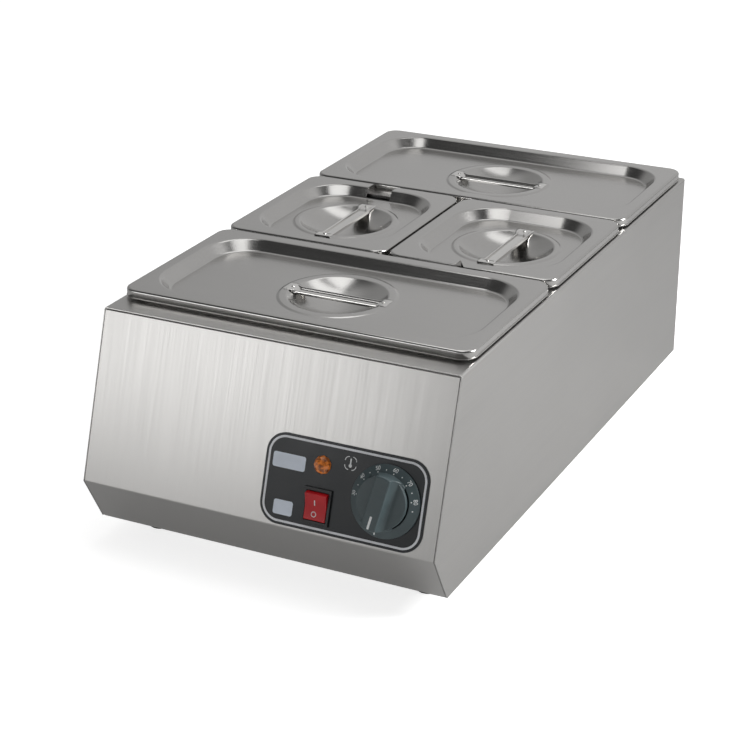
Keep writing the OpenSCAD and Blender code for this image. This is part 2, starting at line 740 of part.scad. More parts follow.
// Strap handle along X, standing on the pressed ring
module lid_handle() {
  half = grip_l/2;
  path = [[-strap_l/2, 0], [-half - strap_rise, 0], [-half, strap_rise], [half, strap_rise],
    [half + strap_rise, 0], [strap_l/2, 0]];
  translate([0, 0, lid_top - recess_depth + ring_rise]) {
    rotate([90, 0, 0]) linear_extrude(strap_w, center = true) polygon(bent(path, strap_sheet, strap_sheet));
    for (x = [-1, 1]) {
      translate([x*(strap_l - tab_l)/2, 0, strap_sheet/2]) cube([tab_l, tab_w, strap_sheet], center = true);
      translate([0, x*(strap_w/2 - lip_r), strap_rise + strap_sheet]) rotate([0, 90, 0])
        cylinder(r = lip_r, h = grip_l - 2*lip_r, center = true);
    }
  }
}
module front_lid_handle() color("whitesmoke") wide_place(-1) lid_handle();
module rear_lid_handle() color("whitesmoke") wide_place(1) lid_handle();
module left_lid_handle() color("whitesmoke") small_place(-1) rotate(90) lid_handle();
module right_lid_handle() color("whitesmoke") small_place(1) rotate(90) lid_handle();

// Controls on the sloped front
module control_overlay() color("darkslategray") difference() {
  on_front(overlay_x, overlay_down) linear_extrude(overlay_t) rounded(overlay_w, overlay_h, overlay_r);
  control_holes(overlay_t);
}
module dial_ring() color("slategray") on_front(knob_x, overlay_down) translate([0, 0, overlay_t])
  rotate_extrude() polygon([[knob_d/2 + dial_gap, 0], [dial_d/2, 0], [dial_d/2, dial_rim_h],
    [knob_d/2 + dial_gap, dial_h]]);

module control_knob() color("slategray") on_front(knob_x, overlay_down) translate([0, 0, overlay_t])
  rotate(-off_angle) difference() {
    union() {
      translate([0, 0, knob_base_up]) cylinder(d = knob_d, h = knob_base_t);
      intersection() {
        rotate_extrude() polygon([[0, knob_base_up], [knob_bar_l/2, knob_base_up],
          [knob_bar_l/2 - knob_taper, knob_h - knob_edge], [knob_bar_l/2 - knob_taper - knob_edge, knob_h],
          [0, knob_h]]);
        rotate([90, 0, 0]) linear_extrude(knob_bar_l, center = true) polygon(knob_section());
      }
    }
    cylinder(d = shaft_d + 2*pivot_gap, h = knob_h - shaft_short + pivot_gap);
  }
// Cross-section of the grip bar: hollow flanks that run out into the round base
function knob_section() =
  let (top = knob_bar_w/2, out = knob_flank_share*knob_d/2 - top, floor = knob_base_up + knob_base_t/2)
  let (flank = [for (i = [0:flank_steps]) let (a = 90*i/flank_steps)
    [top + out*(1 - cos(a)), knob_h - (knob_h - floor)*sin(a)]])
  concat(flank, [[top + out, knob_base_up], [-top - out, knob_base_up]],
    [for (p = reversed(flank)) [-p[0], p[1]]]);

module thermostat_shaft() color("lightgray") on_front(knob_x, overlay_down)
  translate([0, 0, -sheet - shaft_in])
    cylinder(d = shaft_d, h = sheet + shaft_in + overlay_t + knob_h - shaft_short);
module thermostat_body() color("ivory") on_front(knob_x, overlay_down) difference() {
  union() {
    translate([0, 0, -sheet - thermo_l/2]) cube([thermo_w, thermo_w, thermo_l], center = true);
    translate([0, 0, -sheet - cut]) cylinder(d = collar_d, h = cut + sheet + overlay_t + collar_stand);
  }
  translate([0, 0, -sheet - shaft_in - run_gap])
    cylinder(d = shaft_d + 2*pivot_gap, h = shaft_in + sheet + overlay_t + collar_stand + cut);
  for (x = [-1, 1]) translate([x*thermo_screws_pitch/2, 0, -sheet]) screw_hole(screw_grip + cut);
}
module thermostat_screws() color("silver") on_front(knob_x, overlay_down)
  for (x = [-1, 1]) translate([x*thermo_screws_pitch/2, 0, overlay_t]) screw(overlay_t + sheet + screw_grip);

module switch_housing() color("black") on_front(control_x, switch_down) {
  body_l = switch_l + sheet;
  difference() {
    union() {
      translate([0, 0, overlay_t + bezel_t/2]) cube([bezel_w, bezel_h, bezel_t], center = true);
      translate([0, 0, overlay_t - body_l/2]) cube([switch_w, switch_h, body_l], center = true);
    }
    translate([0, 0, (overlay_t + bezel_t + cut + pivot_z - rocker_low - rocker_room)/2])
      cube([rocker_w + 2*run_gap, 2*(rocker_r + run_gap),
        overlay_t + bezel_t + cut - pivot_z + rocker_low + rocker_room], center = true);
    translate([0, 0, pivot_z]) rotate([0, 90, 0])
      cylinder(d = pivot_d + 2*pivot_gap, h = rocker_w + 2*(run_gap + pivot_in + run_gap), center = true);
  }
  for (x = [-1, 1], y = [-1, 1])
    translate([x*switch_w/4, y*switch_h/4, overlay_t - body_l - blade[2]/2])
      cube([blade[0], blade[1], blade[2]], center = true);
}
// Rocker in its off position: the lower half lies level, the upper half stands out
module switch_rocker() color("red") on_front(control_x, switch_down) translate([0, 0, pivot_z]) {
  far = rocker_r + cut;
  across(rocker_w) intersection() {
    circle(rocker_r);
    polygon([[-far, -rocker_low], [far, -rocker_low], [far, rocker_up + far*tan(rocker_travel)],
      [0, rocker_up], [-far, rocker_up]]);
  }
  rotate([0, 90, 0]) cylinder(d = pivot_d, h = rocker_w + 2*(run_gap + pivot_in), center = true);
}

module lamp_lens() color("darkorange") on_front(control_x, lamp_down) translate([0, 0, overlay_t]) {
  rim = lens_rim_share*lens_h;
  dome = lens_h - rim;
  ball_r = (lens_d*lens_d/4 + dome*dome)/(2*dome);
  cylinder(d = lens_d, h = rim);
  intersection() {
    translate([0, 0, lens_h - ball_r]) sphere(ball_r);
    cylinder(d = lens_d, h = lens_h);
  }
}
module lamp_body() color("white") on_front(control_x, lamp_down)
  translate([0, 0, overlay_t - lamp_l]) cylinder(d = lamp_d, h = lamp_l);
module lamp_nut() color("white") on_front(control_x, lamp_down) translate([0, 0, -sheet - lamp_nut_t])
  difference() {
    hexagon(lamp_nut_flat, lamp_nut_t);
    translate([0, 0, -cut]) cylinder(d = lamp_d + 2*pivot_gap, h = lamp_nut_t + 2*cut);
  }

// Supply side at the rear
module terminal_block_place() {
  translate([-gland_x, rear_y - block_in, casing_z]) children();
}
module terminal_screw_places() {
  half = (block[0] - screw_head_d - 2*sheet)/2;
  for (x = [-1, 1]) translate([-gland_x + x*half, rear_y - block_in, 0]) children();
}
module terminal_block() color("beige") {
  pitch = (block[0] - 2*screw_head_d - 4*sheet)/block_ways;
  difference() {
    terminal_block_place() translate([0, 0, block[2]/2]) cube(block, center = true);
    terminal_block_place() for (i = [0:block_ways - 1]) translate([(i - (block_ways - 1)/2)*pitch, 0, 0]) {
      translate([0, 0, block[2] - block_hole_t]) cylinder(d = block_hole_d, h = block_hole_t + cut);
      translate([0, 0, block[2]/3]) rotate([90, 0, 0])
        cylinder(d = block_hole_d, h = block[1] + 2*cut, center = true);
    }
    terminal_screw_places() translate([0, 0, casing_z + block[2]]) screw_hole(block[2] + cut);
  }
}
module terminal_screws() color("silver") terminal_screw_places() translate([0, 0, casing_z + block[2]])
  screw(block[2] + sheet);

module gland_place() {
  translate([-gland_x, rear_y, casing_z + gland_up]) rotate([-90, 0, 0]) children();
}
module cable_gland() color("black") gland_place() difference() {
  union() {
    hexagon(gland_flat, gland_hex_t);
    translate([0, 0, -sheet - gland_tail]) cylinder(d = gland_thread_d, h = sheet + gland_tail + cut);
    translate([0, 0, gland_hex_t]) cylinder(d1 = gland_flat, d2 = gland_thread_d, h = gland_cap_l);
  }
  translate([0, 0, -sheet - gland_tail - cut])
    cylinder(d = gland_bore, h = sheet + gland_tail + gland_reach + 2*cut);
}
module gland_nut() color("black") gland_place() translate([0, 0, -sheet - gland_nut_t]) difference() {
  hexagon(gland_flat, gland_nut_t);
  translate([0, 0, -cut]) cylinder(d = gland_thread_d + 2*pivot_gap, h = gland_nut_t + 2*cut);
}

// Feet and fasteners
module foot() {
  difference() {
    union() {
      translate([0, 0, foot_h/2]) cylinder(d = foot_d, h = foot_h/2);
      cylinder(d1 = foot_d - 2*sheet, d2 = foot_d, h = foot_h/2);
    }
    translate([0, 0, -cut]) cylinder(d = foot_head_d + 2*hole_gap, h = foot_recess + cut);
    cylinder(d = foot_screw_d + 2*hole_gap, h = foot_h + cut);
  }
}
module front_left_foot() color("black") foot_places(-1, -1) foot();
module front_right_foot() color("black") foot_places(1, -1) foot();
module rear_left_foot() color("black") foot_places(-1, 1) foot();
module rear_right_foot() color("black") foot_places(1, 1) foot();
module foot_screws() color("silver") for (x = [-1, 1], y = [-1, 1]) foot_places(x, y) {
  translate([0, 0, foot_recess - foot_head_t]) cylinder(d = foot_head_d, h = foot_head_t);
  translate([0, 0, foot_recess]) cylinder(d = foot_screw_d, h = foot_h - foot_recess + foot_screw_up);
}
module foot_nuts() color("silver") for (x = [-1, 1], y = [-1, 1])
  foot_places(x, y) translate([0, 0, casing_z]) nut(foot_screw_d, nut_t);
module base_screws() color("silver") base_screw_places() screw(screw_grip);
module rear_screws() color("silver") rear_screw_places() screw(screw_grip);

outer_casing();
front_panel();
rear_panel();
base_plate();
heated_well();
front_divider_bar();
rear_divider_bar();
front_pan();
left_pan();
right_pan();
rear_pan();
front_lid();
left_lid();
right_lid();
rear_lid();
front_lid_handle();
left_lid_handle();
right_lid_handle();
rear_lid_handle();
heating_element();
element_clamps();
well_nuts();
overheat_cutout();
thermostat_body();
thermostat_shaft();
thermostat_screws();
thermostat_bulb();
bulb_clip();
control_overlay();
dial_ring();
control_knob();
switch_housing();
switch_rocker();
lamp_lens();
lamp_body();
lamp_nut();
terminal_block();
terminal_screws();
cable_gland();
gland_nut();
front_left_foot();
front_right_foot();
rear_left_foot();
rear_right_foot();
foot_screws();
foot_nuts();
base_screws();
rear_screws();
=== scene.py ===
# %% [markdown]
# # Chocolate melting tank
# The tank is a sheet-steel box with four drawn pans, and its sizes are already settled in the
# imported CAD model. This notebook loads that model as a fixed frame and dresses it: finishes for
# every sheet, finer meshes for the drawn lids and the moulded controls, then light and camera.
# Pieces take their places from the boxes and the joints of the frame.

# %% Load the frame
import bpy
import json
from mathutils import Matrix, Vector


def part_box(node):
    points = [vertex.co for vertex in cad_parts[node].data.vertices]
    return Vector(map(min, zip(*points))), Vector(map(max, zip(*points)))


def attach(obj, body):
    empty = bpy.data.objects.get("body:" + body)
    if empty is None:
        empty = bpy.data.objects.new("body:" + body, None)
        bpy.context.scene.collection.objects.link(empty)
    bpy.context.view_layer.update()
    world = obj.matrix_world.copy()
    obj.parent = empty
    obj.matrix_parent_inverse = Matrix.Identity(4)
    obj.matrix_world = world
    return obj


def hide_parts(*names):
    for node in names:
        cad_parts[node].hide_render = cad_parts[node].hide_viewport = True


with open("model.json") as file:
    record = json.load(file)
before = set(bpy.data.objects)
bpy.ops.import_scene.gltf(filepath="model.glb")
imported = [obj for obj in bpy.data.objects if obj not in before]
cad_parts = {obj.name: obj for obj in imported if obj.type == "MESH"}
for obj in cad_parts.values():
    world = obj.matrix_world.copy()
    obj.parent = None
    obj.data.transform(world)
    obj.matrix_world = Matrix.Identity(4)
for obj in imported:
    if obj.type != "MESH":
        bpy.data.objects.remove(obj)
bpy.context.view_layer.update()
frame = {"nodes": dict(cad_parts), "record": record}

import json
from math import asin, cos, pi, radians, sin

import bmesh
import bpy
from mathutils import Matrix, Vector

mm = 0.001
nodes = frame["nodes"]
joints = {joint["name"]: joint for joint in frame["record"]["behaviour"]["joints"]}

# %% [markdown]
# ## Camera
# The photograph looks down on the front right corner of the tank with a long lens. Such a view
# could be set by hand, but the angles below were measured from the edges of the casing, so they
# are kept as plain numbers: which way round, how high, how far, and the point looked at. That
# point is counted from the front edge and the top of the front lid.

# %% Camera
VIEW_TURN, VIEW_RISE = radians(26.156), radians(23.539)
VIEW_DISTANCE = 1781.4 * mm
LOOK_RIGHT, LOOK_BACK, LOOK_DOWN = 30.8 * mm, 101.7 * mm, 85.0 * mm
LENS, SENSOR = 95.48, 36.0

lid_low, lid_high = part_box("front_lid")
target = Vector((LOOK_RIGHT, lid_low.y + LOOK_BACK, lid_high.z - LOOK_DOWN))
towards_eye = Vector((sin(VIEW_TURN) * cos(VIEW_RISE),
                      -cos(VIEW_TURN) * cos(VIEW_RISE),
                      sin(VIEW_RISE)))
camera_data = bpy.data.cameras.new("camera")
camera_data.lens, camera_data.sensor_width = LENS, SENSOR
camera = bpy.data.objects.new("camera", camera_data)
camera.location = target + towards_eye * VIEW_DISTANCE
camera.rotation_euler = towards_eye.to_track_quat("Z", "Y").to_euler()
bpy.context.scene.collection.objects.link(camera)
bpy.context.scene.camera = camera
print("camera at", [round(v, 3) for v in camera.location])

# %% [markdown]
# ## Shader arithmetic
# A finish is a small calculation: noise times a share, plus a base value, and so on. Wiring each
# Math node by hand hides that calculation, so one class wraps a socket and lets Python's own
# operators add the nodes. Every other node comes from its `node` method.

# %% Shader arithmetic
VALUE, FROM_MIN, FROM_MAX = 0, 1, 2  # sockets of a Map Range node
FACTOR, COLOUR_A, COLOUR_B, COLOUR_OUT = 0, 6, 7, 2  # sockets of a Mix node set to colours


class Value:
    """A socket in a node tree; arithmetic on it adds Math nodes."""

    def __init__(self, tree, socket=None):
        self.tree, self.socket = tree, socket

    def node(self, kind, inputs=None, settings=None, output=0):
        """Adds a node, settings first, and gives one of its outputs if it has any."""
        made = self.tree.nodes.new(kind)
        for name, setting in (settings or {}).items():
            setattr(made, name, setting)
        for name, value in (inputs or {}).items():
            if isinstance(value, Value):
                self.tree.links.new(value.socket, made.inputs[name])
            else:
                made.inputs[name].default_value = value
        return Value(self.tree, made.outputs[output]) if len(made.outputs) else None

    def other(self, output):
        """Another output of the node that this value comes from."""
        return Value(self.tree, self.socket.node.outputs[output])

    def maths(self, operation, *terms):
        return self.node("ShaderNodeMath", dict(enumerate(terms)), {"operation": operation})

    def __add__(self, other):
        return self.maths("ADD", self, other)

    def __sub__(self, other):
        return self.maths("SUBTRACT", self, other)

    def __rsub__(self, other):
        return self.maths("SUBTRACT", other, self)

    def __mul__(self, other):
        return self.maths("MULTIPLY", self, other)

    __radd__, __rmul__ = __add__, __mul__

    def clamped(self):
        return self.node("ShaderNodeClamp", {VALUE: self})

    def between(self, low, high):
        """0 below low, 1 above high, and a smooth step between."""
        return self.node("ShaderNodeMapRange", {VALUE: self, FROM_MIN: low, FROM_MAX: high},
                         {"interpolation_type": "SMOOTHSTEP"})

    def blend(self, first, second):
        """The first colour where this value is 0, the second where it is 1."""
        return self.node("ShaderNodeMix", {FACTOR: self, COLOUR_A: first, COLOUR_B: second},
                         {"data_type": "RGBA"}, COLOUR_OUT)


print("shader arithmetic ready")

# %% [markdown]
# ## Starting and ending a finish
# Real surfaces are never one flat colour, so every finish starts from noise. The noise is laid
# out in object coordinates, in grains per metre, which keeps it the same size on every piece and
# holds it still when a piece moves. A Principled shader ends each finish.

# %% Starting and ending a finish
NOISE_MEAN = 0.5


def grey(level, tint=(1.0, 1.0, 1.0)):
    return (level * tint[0], level * tint[1], level * tint[2], 1.0)


def new_finish(name):
    """An empty material, and the Value that adds nodes to it."""
    material = bpy.data.materials.new(name)
    material.use_nodes = True
    material.node_tree.nodes.clear()
    print("finish", name)
    return material, Value(material.node_tree)


def noise(start, scale, stretch=(1, 1, 1), detail=2.0):
    """Noise of so many grains per metre, drawn out by the stretch along each axis."""
    where = start.node("ShaderNodeTexCoord", output="Object")
    scales = [scale / share for share in stretch]
    spread = start.node("ShaderNodeMapping", {"Vector": where, "Scale": scales})
    return start.node("ShaderNodeTexNoise", {"Vector": spread, "Scale": 1.0, "Detail": detail})


def close_finish(start, sockets):
    """Ends a material with a Principled shader that has these sockets."""
    shader = start.node("ShaderNodeBsdfPrincipled", sockets, output="BSDF")
    start.node("ShaderNodeOutputMaterial", {"Surface": shader})


# %% [markdown]
# ## Steel finishes
# Stainless sheet is brushed in one direction: the scratches are about a millimetre wide and many
# centimetres long. An image texture would repeat, so stretched noise draws them. A fine and a
# broad noise shift the colour, a third, unstretched one adds the cloudy handling marks of a real
# casing, and the fine one alone also drives the roughness and a very shallow bump: broad bumps
# would make the sheet look like a curtain.

# %% Steel finishes
STEEL_TINT = (1.0, 0.985, 0.962)
FINE_DETAIL = 4.0
BROAD_BY, FINE_SHARE, BROAD_SHARE = 6, 0.85, 0.15
CLOUD_SCALE = 9.0
SHADE_SPAN, COLOUR_SPAN = 0.15, 0.18
FINE_ROUGHNESS, CLOUD_ROUGHNESS, SCRATCH_DEPTH = 0.14, 0.05, 0.3 * mm


def steel(name, level, roughness, stretch, grain=700.0, contrast=0.10, scratch=0.05, cloud=0.05):
    material, start = new_finish(name)
    fine = noise(start, grain, stretch, FINE_DETAIL)
    broad = noise(start, grain / BROAD_BY, stretch)
    cloudy = noise(start, CLOUD_SCALE)
    brushed = fine * FINE_SHARE + broad * BROAD_SHARE
    shade = (brushed - NOISE_MEAN) * contrast + 1.0 + (cloudy - NOISE_MEAN) * cloud
    dark = grey(level * (1 - COLOUR_SPAN), STEEL_TINT)
    light = grey(level * (1 + COLOUR_SPAN), STEEL_TINT)
    colour = shade.between(1 - SHADE_SPAN, 1 + SHADE_SPAN).blend(dark, light)
    rough = ((fine - NOISE_MEAN) * FINE_ROUGHNESS + (cloudy - NOISE_MEAN) * CLOUD_ROUGHNESS
             + roughness)
    bump = start.node("ShaderNodeBump", {"Height": fine, "Strength": scratch,
                                         "Distance": SCRATCH_DEPTH})
    close_finish(start, {"Base Color": colour, "Roughness": rough.clamped(), "Metallic": 1.0,
                         "Normal": bump})
    return material


# How many times the grain is drawn out along x, y and z.
UPRIGHT_GRAIN, LENGTHWISE_GRAIN, CROSSWISE_GRAIN = (1, 90, 90), (1, 120, 1), (120, 1, 1)
LID_GRAIN, LEVEL_GRAIN, NO_GRAIN = (60, 1, 1), (30, 30, 1), (1, 1, 1)

front_steel = steel("brushed_front", level=0.52, roughness=0.34, stretch=UPRIGHT_GRAIN,
                    contrast=0.045, scratch=0.012)
casing_steel = steel("brushed_casing", level=0.51, roughness=0.33, stretch=LENGTHWISE_GRAIN)
rear_steel = steel("brushed_rear", level=0.50, roughness=0.34, stretch=UPRIGHT_GRAIN)
base_steel = steel("plain_base", level=0.42, roughness=0.42, stretch=CROSSWISE_GRAIN)
well_steel = steel("plain_well", level=0.45, roughness=0.32, stretch=NO_GRAIN, grain=300.0)
pan_steel = steel("satin_pan", level=0.55, roughness=0.26, stretch=LEVEL_GRAIN,
                  contrast=0.05, scratch=0.015, cloud=0.04)
lid_steel = steel("satin_lid", level=0.52, roughness=0.20, stretch=LID_GRAIN,
                  contrast=0.06, scratch=0.03, cloud=0.04)
strap_steel = steel("bright_strap", level=0.74, roughness=0.13, stretch=LEVEL_GRAIN,
                    contrast=0.05, scratch=0.02)
screw_steel = steel("plated_screw", level=0.60, roughness=0.25, stretch=NO_GRAIN, grain=900.0)

# %% [markdown]
# ## Moulded and printed finishes
# Plastics are told apart by gloss and by how their skin breaks the light. Each one here has a
# fine moulded grain in its bump and a soft drift in its colour and roughness, so that no face is
# a single flat colour. The red rocker and the amber lens carry a thin clear coat, and two metals
# that are not brushed, copper tube and heater tube, are made in the same way.

# %% Moulded and printed finishes
PATCH_SPAN = (0.25, 0.75)
PORE_ROUGHNESS, PATCH_ROUGHNESS, PORE_DEPTH = 0.12, 0.12, 0.1 * mm


def moulded(name, colour, roughness, grain=1500.0, skin=0.08, drift=0.25, patches=60.0,
            metal=0.0, coat=0.0):
    material, start = new_finish(name)
    pores = noise(start, grain)
    patch = noise(start, patches)
    low, high = [c * (1 - drift) for c in colour], [c * (1 + drift) for c in colour]
    tone = patch.between(*PATCH_SPAN).blend((*low, 1.0), (*high, 1.0))
    rough = ((pores - NOISE_MEAN) * PORE_ROUGHNESS + (patch - NOISE_MEAN) * PATCH_ROUGHNESS
             + roughness)
    bump = start.node("ShaderNodeBump", {"Height": pores, "Strength": skin,
                                         "Distance": PORE_DEPTH})
    close_finish(start, {"Base Color": tone, "Roughness": rough.clamped(), "Metallic": metal,
                         "Coat Weight": coat, "Normal": bump})
    return material


film_black = moulded("black_film", (0.009, 0.012, 0.015), roughness=0.36, grain=2500.0,
                     skin=0.04, drift=0.12)
slate = moulded("slate_plastic", (0.066, 0.092, 0.098), roughness=0.42, skin=0.10, drift=0.08)
black_plastic = moulded("black_plastic", (0.016, 0.018, 0.019), roughness=0.40)
red_plastic = moulded("red_plastic", (0.52, 0.004, 0.010), roughness=0.32, skin=0.03,
                      drift=0.08, coat=0.1)
amber = moulded("amber_lens", (0.66, 0.19, 0.035), roughness=0.10, skin=0.02, drift=0.65,
                patches=330.0, coat=0.6)
silver_print = moulded("silver_print", (0.74, 0.75, 0.78), roughness=0.35, skin=0.03, drift=0.06)
window_grey = moulded("window_film", (0.68, 0.74, 0.83), roughness=0.38, skin=0.03, drift=0.06)
white_print = moulded("white_print", (0.80, 0.82, 0.82), roughness=0.45, skin=0.03, drift=0.05)
white_plastic = moulded("white_plastic", (0.70, 0.69, 0.65), roughness=0.45)
copper = moulded("copper_tube", (0.72, 0.38, 0.24), roughness=0.30, metal=1.0)
heater_tube = moulded("heater_tube", (0.20, 0.19, 0.18), roughness=0.45, metal=1.0, drift=0.35)
rubber = moulded("foot_rubber", (0.018, 0.018, 0.018), roughness=0.62, grain=900.0, skin=0.20)

# %% [markdown]
# ## Finishes for the CAD pieces
# Each piece of the real tank is one material, so each node of the frame gets one finish. A table
# from finish to nodes shows at a glance which pieces belong together, and the finer pieces below
# take their finish from the node that they stand for.

# %% Finishes for the CAD pieces
finishes = {
    front_steel: ["front_panel"],
    casing_steel: ["outer_casing"],
    rear_steel: ["rear_panel"],
    base_steel: ["base_plate", "element_clamps", "bulb_clip"],
    well_steel: ["heated_well", "front_divider_bar", "rear_divider_bar"],
    pan_steel: ["front_pan", "left_pan", "right_pan", "rear_pan"],
    lid_steel: ["front_lid", "left_lid", "right_lid", "rear_lid"],
    strap_steel: ["front_lid_handle", "left_lid_handle", "right_lid_handle", "rear_lid_handle"],
    screw_steel: ["well_nuts", "thermostat_screws", "thermostat_shaft", "terminal_screws",
                  "foot_screws", "foot_nuts", "base_screws", "rear_screws"],
    film_black: ["control_overlay"],
    slate: ["dial_ring", "control_knob"],
    black_plastic: ["switch_housing", "overheat_cutout", "cable_gland", "gland_nut"],
    red_plastic: ["switch_rocker"],
    amber: ["lamp_lens"],
    white_plastic: ["lamp_body", "lamp_nut", "terminal_block", "thermostat_body"],
    copper: ["thermostat_bulb"],
    heater_tube: ["heating_element"],
    rubber: ["front_left_foot", "front_right_foot", "rear_left_foot", "rear_right_foot"],
}
for material, names in finishes.items():
    for name in names:
        nodes[name].data.materials.clear()
        nodes[name].data.materials.append(material)
print("finished nodes:", sum(len(names) for names in finishes.values()))

# %% [markdown]
# ## From mesh to piece
# Each new piece ends in the same way: its place goes into its vertices, it gets one finish, it
# rides on a body of the frame, and it may stand for CAD nodes. Flat faces beside small bends look
# dented if their corners borrow the bends' normals, so a Weighted Normal modifier lets the large
# faces decide.

# %% From mesh to piece
def make_piece(name, bm, body, finish, place=None, stands_for=(), crease=35):
    if place is not None:
        bmesh.ops.transform(bm, matrix=place, verts=bm.verts)
    mesh = bpy.data.meshes.new(name)
    bm.to_mesh(mesh)
    bm.free()
    mesh.shade_smooth()
    mesh.set_sharp_from_angle(angle=radians(crease))
    mesh.materials.append(finish)
    piece = bpy.data.objects.new(name, mesh)
    bpy.context.scene.collection.objects.link(piece)
    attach(piece, body)
    if stands_for:
        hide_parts(*stands_for)
    print(name, len(mesh.polygons), "faces")
    return piece


def weight_normals(piece):
    modifier = piece.modifiers.new("flat_faces", "WEIGHTED_NORMAL")
    modifier.keep_sharp = True


def thicken(piece, thickness):
    """Gives a pressed sheet its thickness, downwards from the face that is drawn."""
    modifier = piece.modifiers.new("sheet", "SOLIDIFY")
    modifier.thickness, modifier.offset = thickness, -1
    weight_normals(piece)


# %% [markdown]
# ## Softened edges
# A moulded or folded piece never ends in a knife edge. The CAD meshes are exact but sharp and
# come as loose triangles, so a copy is welded, its flat faces are joined again, and every sharp
# edge gets a narrow bevel that catches the light. The pans and the well are drawn with round
# bends already, so they are only welded and shaded smooth.

# %% Softened edges
DOUBLES, FLAT_WITHIN, SHARP_FROM = 0.002 * mm, radians(0.6), radians(32)


def softened(node, body, width, segments=2):
    bm = bmesh.new()
    bm.from_mesh(nodes[node].data)
    bmesh.ops.remove_doubles(bm, verts=bm.verts, dist=DOUBLES)
    bmesh.ops.dissolve_limit(bm, angle_limit=FLAT_WITHIN, verts=bm.verts, edges=bm.edges)
    if width:
        edges = [e for e in bm.edges if e.is_manifold and e.calc_face_angle() > SHARP_FROM]
        bmesh.ops.bevel(bm, geom=edges, offset=width, offset_type="OFFSET", segments=segments,
                        profile=0.5, affect="EDGES", material=-1)
    finish = nodes[node].data.materials[0]
    piece = make_piece(node + "_soft", bm, body, finish, stands_for=[node])
    weight_normals(piece)


softened("control_knob", "knob", width=0.8 * mm, segments=4)
softened("dial_ring", "tank", width=0.5 * mm, segments=3)
softened("switch_rocker", "rocker", width=0.5 * mm, segments=3)
softened("switch_housing", "tank", width=0.4 * mm)
softened("cable_gland", "tank", width=0.5 * mm)
for sheet in ("outer_casing", "front_panel", "rear_panel"):
    softened(sheet, "tank", width=0.25 * mm)
for side in ("front", "left", "right", "rear"):
    softened(side + "_pan", side + "_pan_body", width=0)
softened("heated_well", "tank", width=0)
for foot in ("front_left_foot", "front_right_foot", "rear_left_foot", "rear_right_foot"):
    softened(foot, "tank", width=0.8 * mm, segments=3)

# %% [markdown]
# ## Drawn lids
# A lid is pressed from one sheet: a flat rim with its edge turned down, a sunk panel with sloped
# walls and round corners, a raised ring, and a spherical finger bowl. It could be one revolved or
# lofted solid, but a press works on a sheet, so this does too: rounded plates give the outlines,
# an inset sinks the panel, a spun profile is the dish, bevels are the bends, and a Solidify
# modifier gives the sheet its thickness at the end.

# %% Plates and bends
NEAR, CLOSE, MERGE = mm / 100, mm / 10, mm / 1000
BENT_FROM = radians(15)
CORNER_STEPS = 20


def rounded_plate(bm, width, depth, radius, steps=CORNER_STEPS):
    """A flat rounded rectangle in the plane z = 0; returns its one face."""
    earlier = set(bm.faces)
    corners = bmesh.ops.create_grid(bm, x_segments=1, y_segments=1, size=0.5)["verts"]
    bmesh.ops.scale(bm, vec=(width, depth, 1), verts=corners)
    bmesh.ops.bevel(bm, geom=corners, offset=radius, offset_type="OFFSET", segments=steps,
                    profile=0.5, affect="VERTICES", material=-1)
    return next(face for face in bm.faces if face not in earlier)


def bend(bm, test, width, segments=4):
    """Rounds the creases whose two ends pass the test."""
    edges = [e for e in bm.edges if e.is_manifold and e.calc_face_angle() > BENT_FROM
             and all(test(v.co) for v in e.verts)]
    bmesh.ops.bevel(bm, geom=edges, offset=width, offset_type="OFFSET", segments=segments,
                    profile=0.5, affect="EDGES", material=-1)
    print("bent edges:", len(edges))


# %% [markdown]
# The ring and the bowl are round, so they are spun like a lathe would: half of their cross
# section is drawn as a line and swept once round the axis. The bowl is part of a ball, whose
# radius follows from the width and the depth of the bowl.

# %% Ring and bowl
RECESS_DEPTH = 10 * mm
RING_RISE, RING_SLOPE = 1 * mm, 2 * mm
BOWL_RADIUS, BOWL_DEPTH = 45 * mm, 16 * mm
DISH_STEPS, BOWL_STEPS = 128, 22


def dish(bm, ring_radius):
    """Spins the raised ring and the bowl; returns the circle of edges round them."""
    ball = (BOWL_RADIUS ** 2 + BOWL_DEPTH ** 2) / (2 * BOWL_DEPTH)
    top = RING_RISE - RECESS_DEPTH
    profile = [(ring_radius, -RECESS_DEPTH), (ring_radius - RING_SLOPE, top)]
    for step in range(BOWL_STEPS + 1):
        angle = asin(BOWL_RADIUS / ball) * (1 - step / BOWL_STEPS)
        profile.append((ball * sin(angle), top - BOWL_DEPTH + ball * (1 - cos(angle))))
    line = [bm.verts.new((radius, 0, height)) for radius, height in profile]
    edges = [bm.edges.new(pair) for pair in zip(line, line[1:])]
    bmesh.ops.spin(bm, geom=line + edges, cent=(0, 0, 0), axis=(0, 0, 1), angle=2 * pi,
                   steps=DISH_STEPS, use_merge=True)
    bmesh.ops.remove_doubles(bm, verts=bm.verts, dist=MERGE)
    print("bowl is part of a ball of radius", round(ball / mm, 1), "mm")
    return [e for e in bm.edges if e.is_boundary
            and all(abs(v.co.xy.length - ring_radius) < CLOSE for v in e.verts)]


# %% [markdown]
# The sheet comes next, still with sharp folds: rim, sloped wall, panel round the dish, and the
# edge turned down. The folds are rounded after that, one kind at a time, because each kind has
# its own radius in the press tool.

# %% Pressed sheet
LID_RIM, LID_CORNER, LID_BEND, LID_EDGE = 13 * mm, 13.6 * mm, 2.4 * mm, 7 * mm
RECESS_RUN, RECESS_CORNER, RECESS_BEND = 8 * mm, 44 * mm, 1.6 * mm
RING_BEND, BOWL_BEND = 0.8 * mm, 1.2 * mm


def verts_of(geom):
    return [g for g in geom if isinstance(g, bmesh.types.BMVert)]


